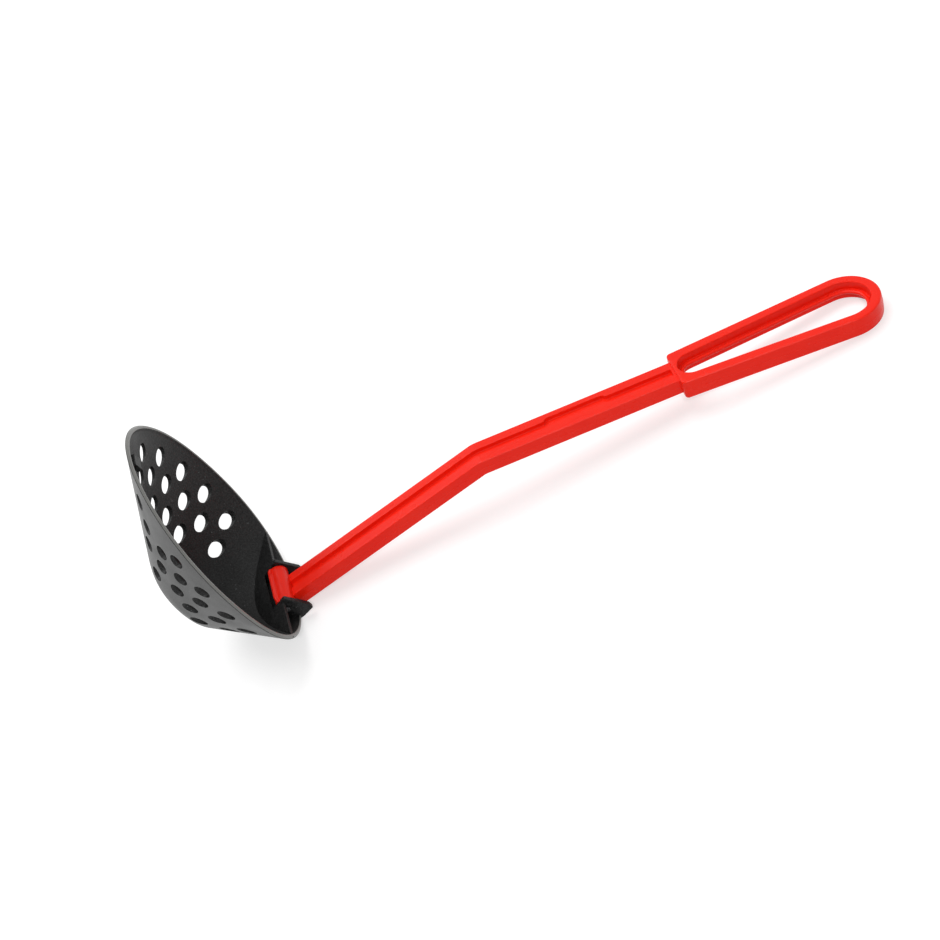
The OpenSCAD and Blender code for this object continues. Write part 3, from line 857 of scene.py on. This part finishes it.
def tangentAngle(a, radiusA, b, radiusB):  # of the side that touches both circles, on their +Y side
    d = b - a
    return atan2(d.y, d.x) + acos((radiusA - radiusB) / d.length)


def between(p, q, count):  # the points inside a straight stretch cut into count parts
    return [mix(p, q, i / count) for i in range(1, count)]


# The loop's outer outline, drawn in by inset: shoulders, straight flanks and the round end
def loopOuter(inset):
    corner = Vector((bars["upper"] + loop["shoulderRadius"],
                     loop["shoulder"] - loop["shoulderRadius"]))
    end = Vector((bars["upper"] + loop["length"], 0))
    small, large = loop["shoulderRadius"] - inset, loop["endRadius"] - inset
    t = tangentAngle(corner, small, end, large)
    upper = arc(corner, small, pi, t, loop["cornerPoints"])
    endArc = arc(end, large, t, -t, loop["endPoints"])
    lower = [Vector((p.x, -p.y)) for p in reversed(upper)]
    return (upper + between(upper[-1], endArc[0], loop["flankPoints"]) + endArc
            + between(endArc[-1], lower[0], loop["flankPoints"]) + lower
            + between(lower[-1], upper[0], loop["frontPoints"]))


# The opening's outline, widened by grow, with as many points in each stretch
def loopInner(grow):
    start = Vector((bars["upper"] + loop["openingAt"] + loop["openingRadius"], 0))
    end = Vector((bars["upper"] + loop["length"], 0))
    small, large = loop["openingRadius"] + grow, loop["endRadius"] - loop["band"] + grow
    t = tangentAngle(start, small, end, large)
    before = loop["cornerPoints"] + loop["frontPoints"]
    around = arc(start, small, 2 * pi - t, t, before + loop["cornerPoints"])
    endArc = arc(end, large, t, -t, loop["endPoints"])
    return (around[before:] + between(around[-1], endArc[0], loop["flankPoints"]) + endArc
            + between(endArc[-1], around[0], loop["flankPoints"]) + around[:before])


# The loop's section: side 0 is measured into the band from the opening, side 1 from the outside
def loopSection():
    high, low = loop["rise"], -bars["thick"] - loop["fall"]
    mid, web = (high + low) / 2, loop["web"] / 2
    face, innerFace = loop["face"], loop["innerFace"]
    draft, waist, proud = loop["draft"], bars["partingHalf"], bars["partingProud"]
    centre = loop["bead"] - loop["flange"]
    meet = asin(web / loop["bead"])
    corners = [(0, innerFace, high, 0), (0, draft, high, loop["innerEdge"]),
               (0, 0, mid + web, loop["root"])]
    for i in range(loop["beadPoints"] + 1):
        a = meet + (2 * pi - 2 * meet) * i / loop["beadPoints"]
        corners.append((0, centre + loop["bead"] * cos(a), mid + loop["bead"] * sin(a), 0))
    corners += [
        (0, 0, mid - web, loop["root"]), (0, draft, low, loop["innerEdge"]), (0, innerFace, low, 0),
        (1, face, low, 0), (1, draft, low, loop["edge"]), (1, 0, mid - waist, 0),
        (1, -proud, mid, 0), (1, 0, mid + waist, 0), (1, draft, high, loop["edge"]),
        (1, face, high, 0),
    ]
    return roundedPath([Vector(c[:3]) for c in corners], [c[3] for c in corners],
                       meshing["sectionSteps"])


def makeLoop():
    rings = []
    for side, reach, height in loopSection():
        flat = loopInner(reach) if side < 0.5 else loopOuter(reach)
        rings.append([elbow + alongUpper * p.x + acrossBar * p.y + upUpper * height for p in flat])
    return makeRings("loop", rings, [handlePlastic], closeRings=True)


def makeGateMark():
    middle = elbow + alongUpper * gate["at"] - upUpper * (bars["grooveDepth"] + gate["sink"])
    turns = [2 * pi * i / gate["sides"] for i in range(gate["sides"])]
    ring = [middle + gate["radius"] * (alongUpper * cos(a) + acrossBar * sin(a)) for a in turns]
    rise = upUpper * (gate["height"] + gate["sink"])
    return makeBlock("gateMark", ring, [p + rise for p in ring], gate["edge"], [handlePlastic])


def makeHandle():
    handle = makeBars()
    combine(handle, [makeBarrel(), makeLoop(), makeGateMark()], "UNION")
    bore = makeRod("barrelBore", barrel["bore"], barrel["length"] / 2 + barrel["boreOver"],
                   [handlePlastic])
    combine(handle, [bore], "DIFFERENCE")
    return handle


handleMoulding = makeHandle()
finishPiece(handleMoulding, "handle", "handle")
print("stage: handle")


# The hinge pin stays as it is, in brushed steel
pinObject = frame["nodes"]["hinge_pin"]
pinSteel = makeSteel()
pinObject.data.materials.clear()
pinObject.data.materials.append(pinSteel)
print("stage: pin")


studio = {
    # the floor's shade for bounced light and for the eye, and the glow that the eye sees on it
    "floorHalf": 6.0, "floorShade": 0.8, "floorSeen": 0.5, "floorLift": 0.58, "worldLight": 0.42,
    "lamps": {  # suns that shine from their place towards the middle; angles in degrees
        "overhead": {"strength": 1.95, "angle": 50.0, "place": (-0.35, 0.55, 1.5)},
        "front": {"strength": 0.85, "angle": 4.0, "place": (0.08, -1.15, 1.11)},
    },
    "cameraPlace": (0.039008, -0.698931, 0.604357),  # metres
    "cameraTurn": (46.1319, 23.3200, -15.1687),  # degrees about X, Y and Z
    "lens": 69.25, "sensor": 36.0, "nearClip": 0.01,
}


# 1 where the eye sees a surface, straight, in a shine or through a clear piece, and 0 for
# bounced light
def seenShare(tree):
    rays = place(tree, "ShaderNodeLightPath")
    seen = place(tree, "ShaderNodeMath", operation="MAXIMUM")
    seenThrough = place(tree, "ShaderNodeMath", operation="MAXIMUM")
    tree.links.new(rays.outputs["Is Camera Ray"], seen.inputs[0])
    tree.links.new(rays.outputs["Is Glossy Ray"], seen.inputs[1])
    tree.links.new(seen.outputs["Value"], seenThrough.inputs[0])
    tree.links.new(rays.outputs["Is Transmission Ray"], seenThrough.inputs[1])
    return seenThrough.outputs["Value"]


def makeFloor():
    half = studio["floorHalf"]
    corners = [(-half, -half, 0), (half, -half, 0), (half, half, 0), (-half, half, 0)]
    floor = makeObject("floor", corners, [(0, 1, 2, 3)], [])
    material = bpy.data.materials.new("studioFloor")
    material.use_nodes = True
    tree = material.node_tree
    tree.nodes.clear()
    links = tree.links
    seen = seenShare(tree)
    paint = place(tree, "ShaderNodeBsdfDiffuse")
    shade = placeRange(tree, (0.0, 1.0), (studio["floorShade"], studio["floorSeen"]))
    lift = place(tree, "ShaderNodeEmission")
    strength = place(tree, "ShaderNodeMath", {1: studio["floorLift"]}, operation="MULTIPLY")
    both = place(tree, "ShaderNodeAddShader")
    result = place(tree, "ShaderNodeOutputMaterial")
    links.new(seen, shade.inputs["Value"])
    links.new(shade.outputs["Result"], paint.inputs["Color"])
    links.new(seen, strength.inputs[0])
    links.new(strength.outputs["Value"], lift.inputs["Strength"])
    links.new(paint.outputs["BSDF"], both.inputs[0])
    links.new(lift.outputs["Emission"], both.inputs[1])
    links.new(both.outputs["Shader"], result.inputs["Surface"])
    floor.data.materials.append(material)


def makeWorld():
    world = bpy.data.worlds.new("studio")
    world.use_nodes = True
    scene.world = world
    tree = world.node_tree
    sky = tree.nodes["Background"]
    sky.inputs["Color"].default_value = (1, 1, 1, 1)
    level = placeRange(tree, (0.0, 1.0), (studio["worldLight"], 1.0))
    tree.links.new(seenShare(tree), level.inputs["Value"])
    tree.links.new(level.outputs["Result"], sky.inputs["Strength"])


def makeLamps():
    for name, lamp in studio["lamps"].items():
        light = bpy.data.lights.new(name, "SUN")
        light.energy = lamp["strength"]
        light.angle = radians(lamp["angle"])
        holder = bpy.data.objects.new(name, light)
        holder.location = lamp["place"]
        holder.rotation_mode = "QUATERNION"
        holder.rotation_quaternion = (-holder.location).to_track_quat("-Z", "Y")
        scene.collection.objects.link(holder)


def makeCamera():
    lens = bpy.data.cameras.new("camera")
    lens.lens = studio["lens"]
    lens.sensor_width = studio["sensor"]
    lens.clip_start = studio["nearClip"]
    camera = bpy.data.objects.new("camera", lens)
    camera.location = studio["cameraPlace"]
    camera.rotation_euler = Euler([radians(a) for a in studio["cameraTurn"]], "XYZ")
    scene.collection.objects.link(camera)
    scene.camera = camera


makeFloor()
makeWorld()
makeLamps()
makeCamera()
scene.view_settings.view_transform = "Standard"
print("stage: studio")
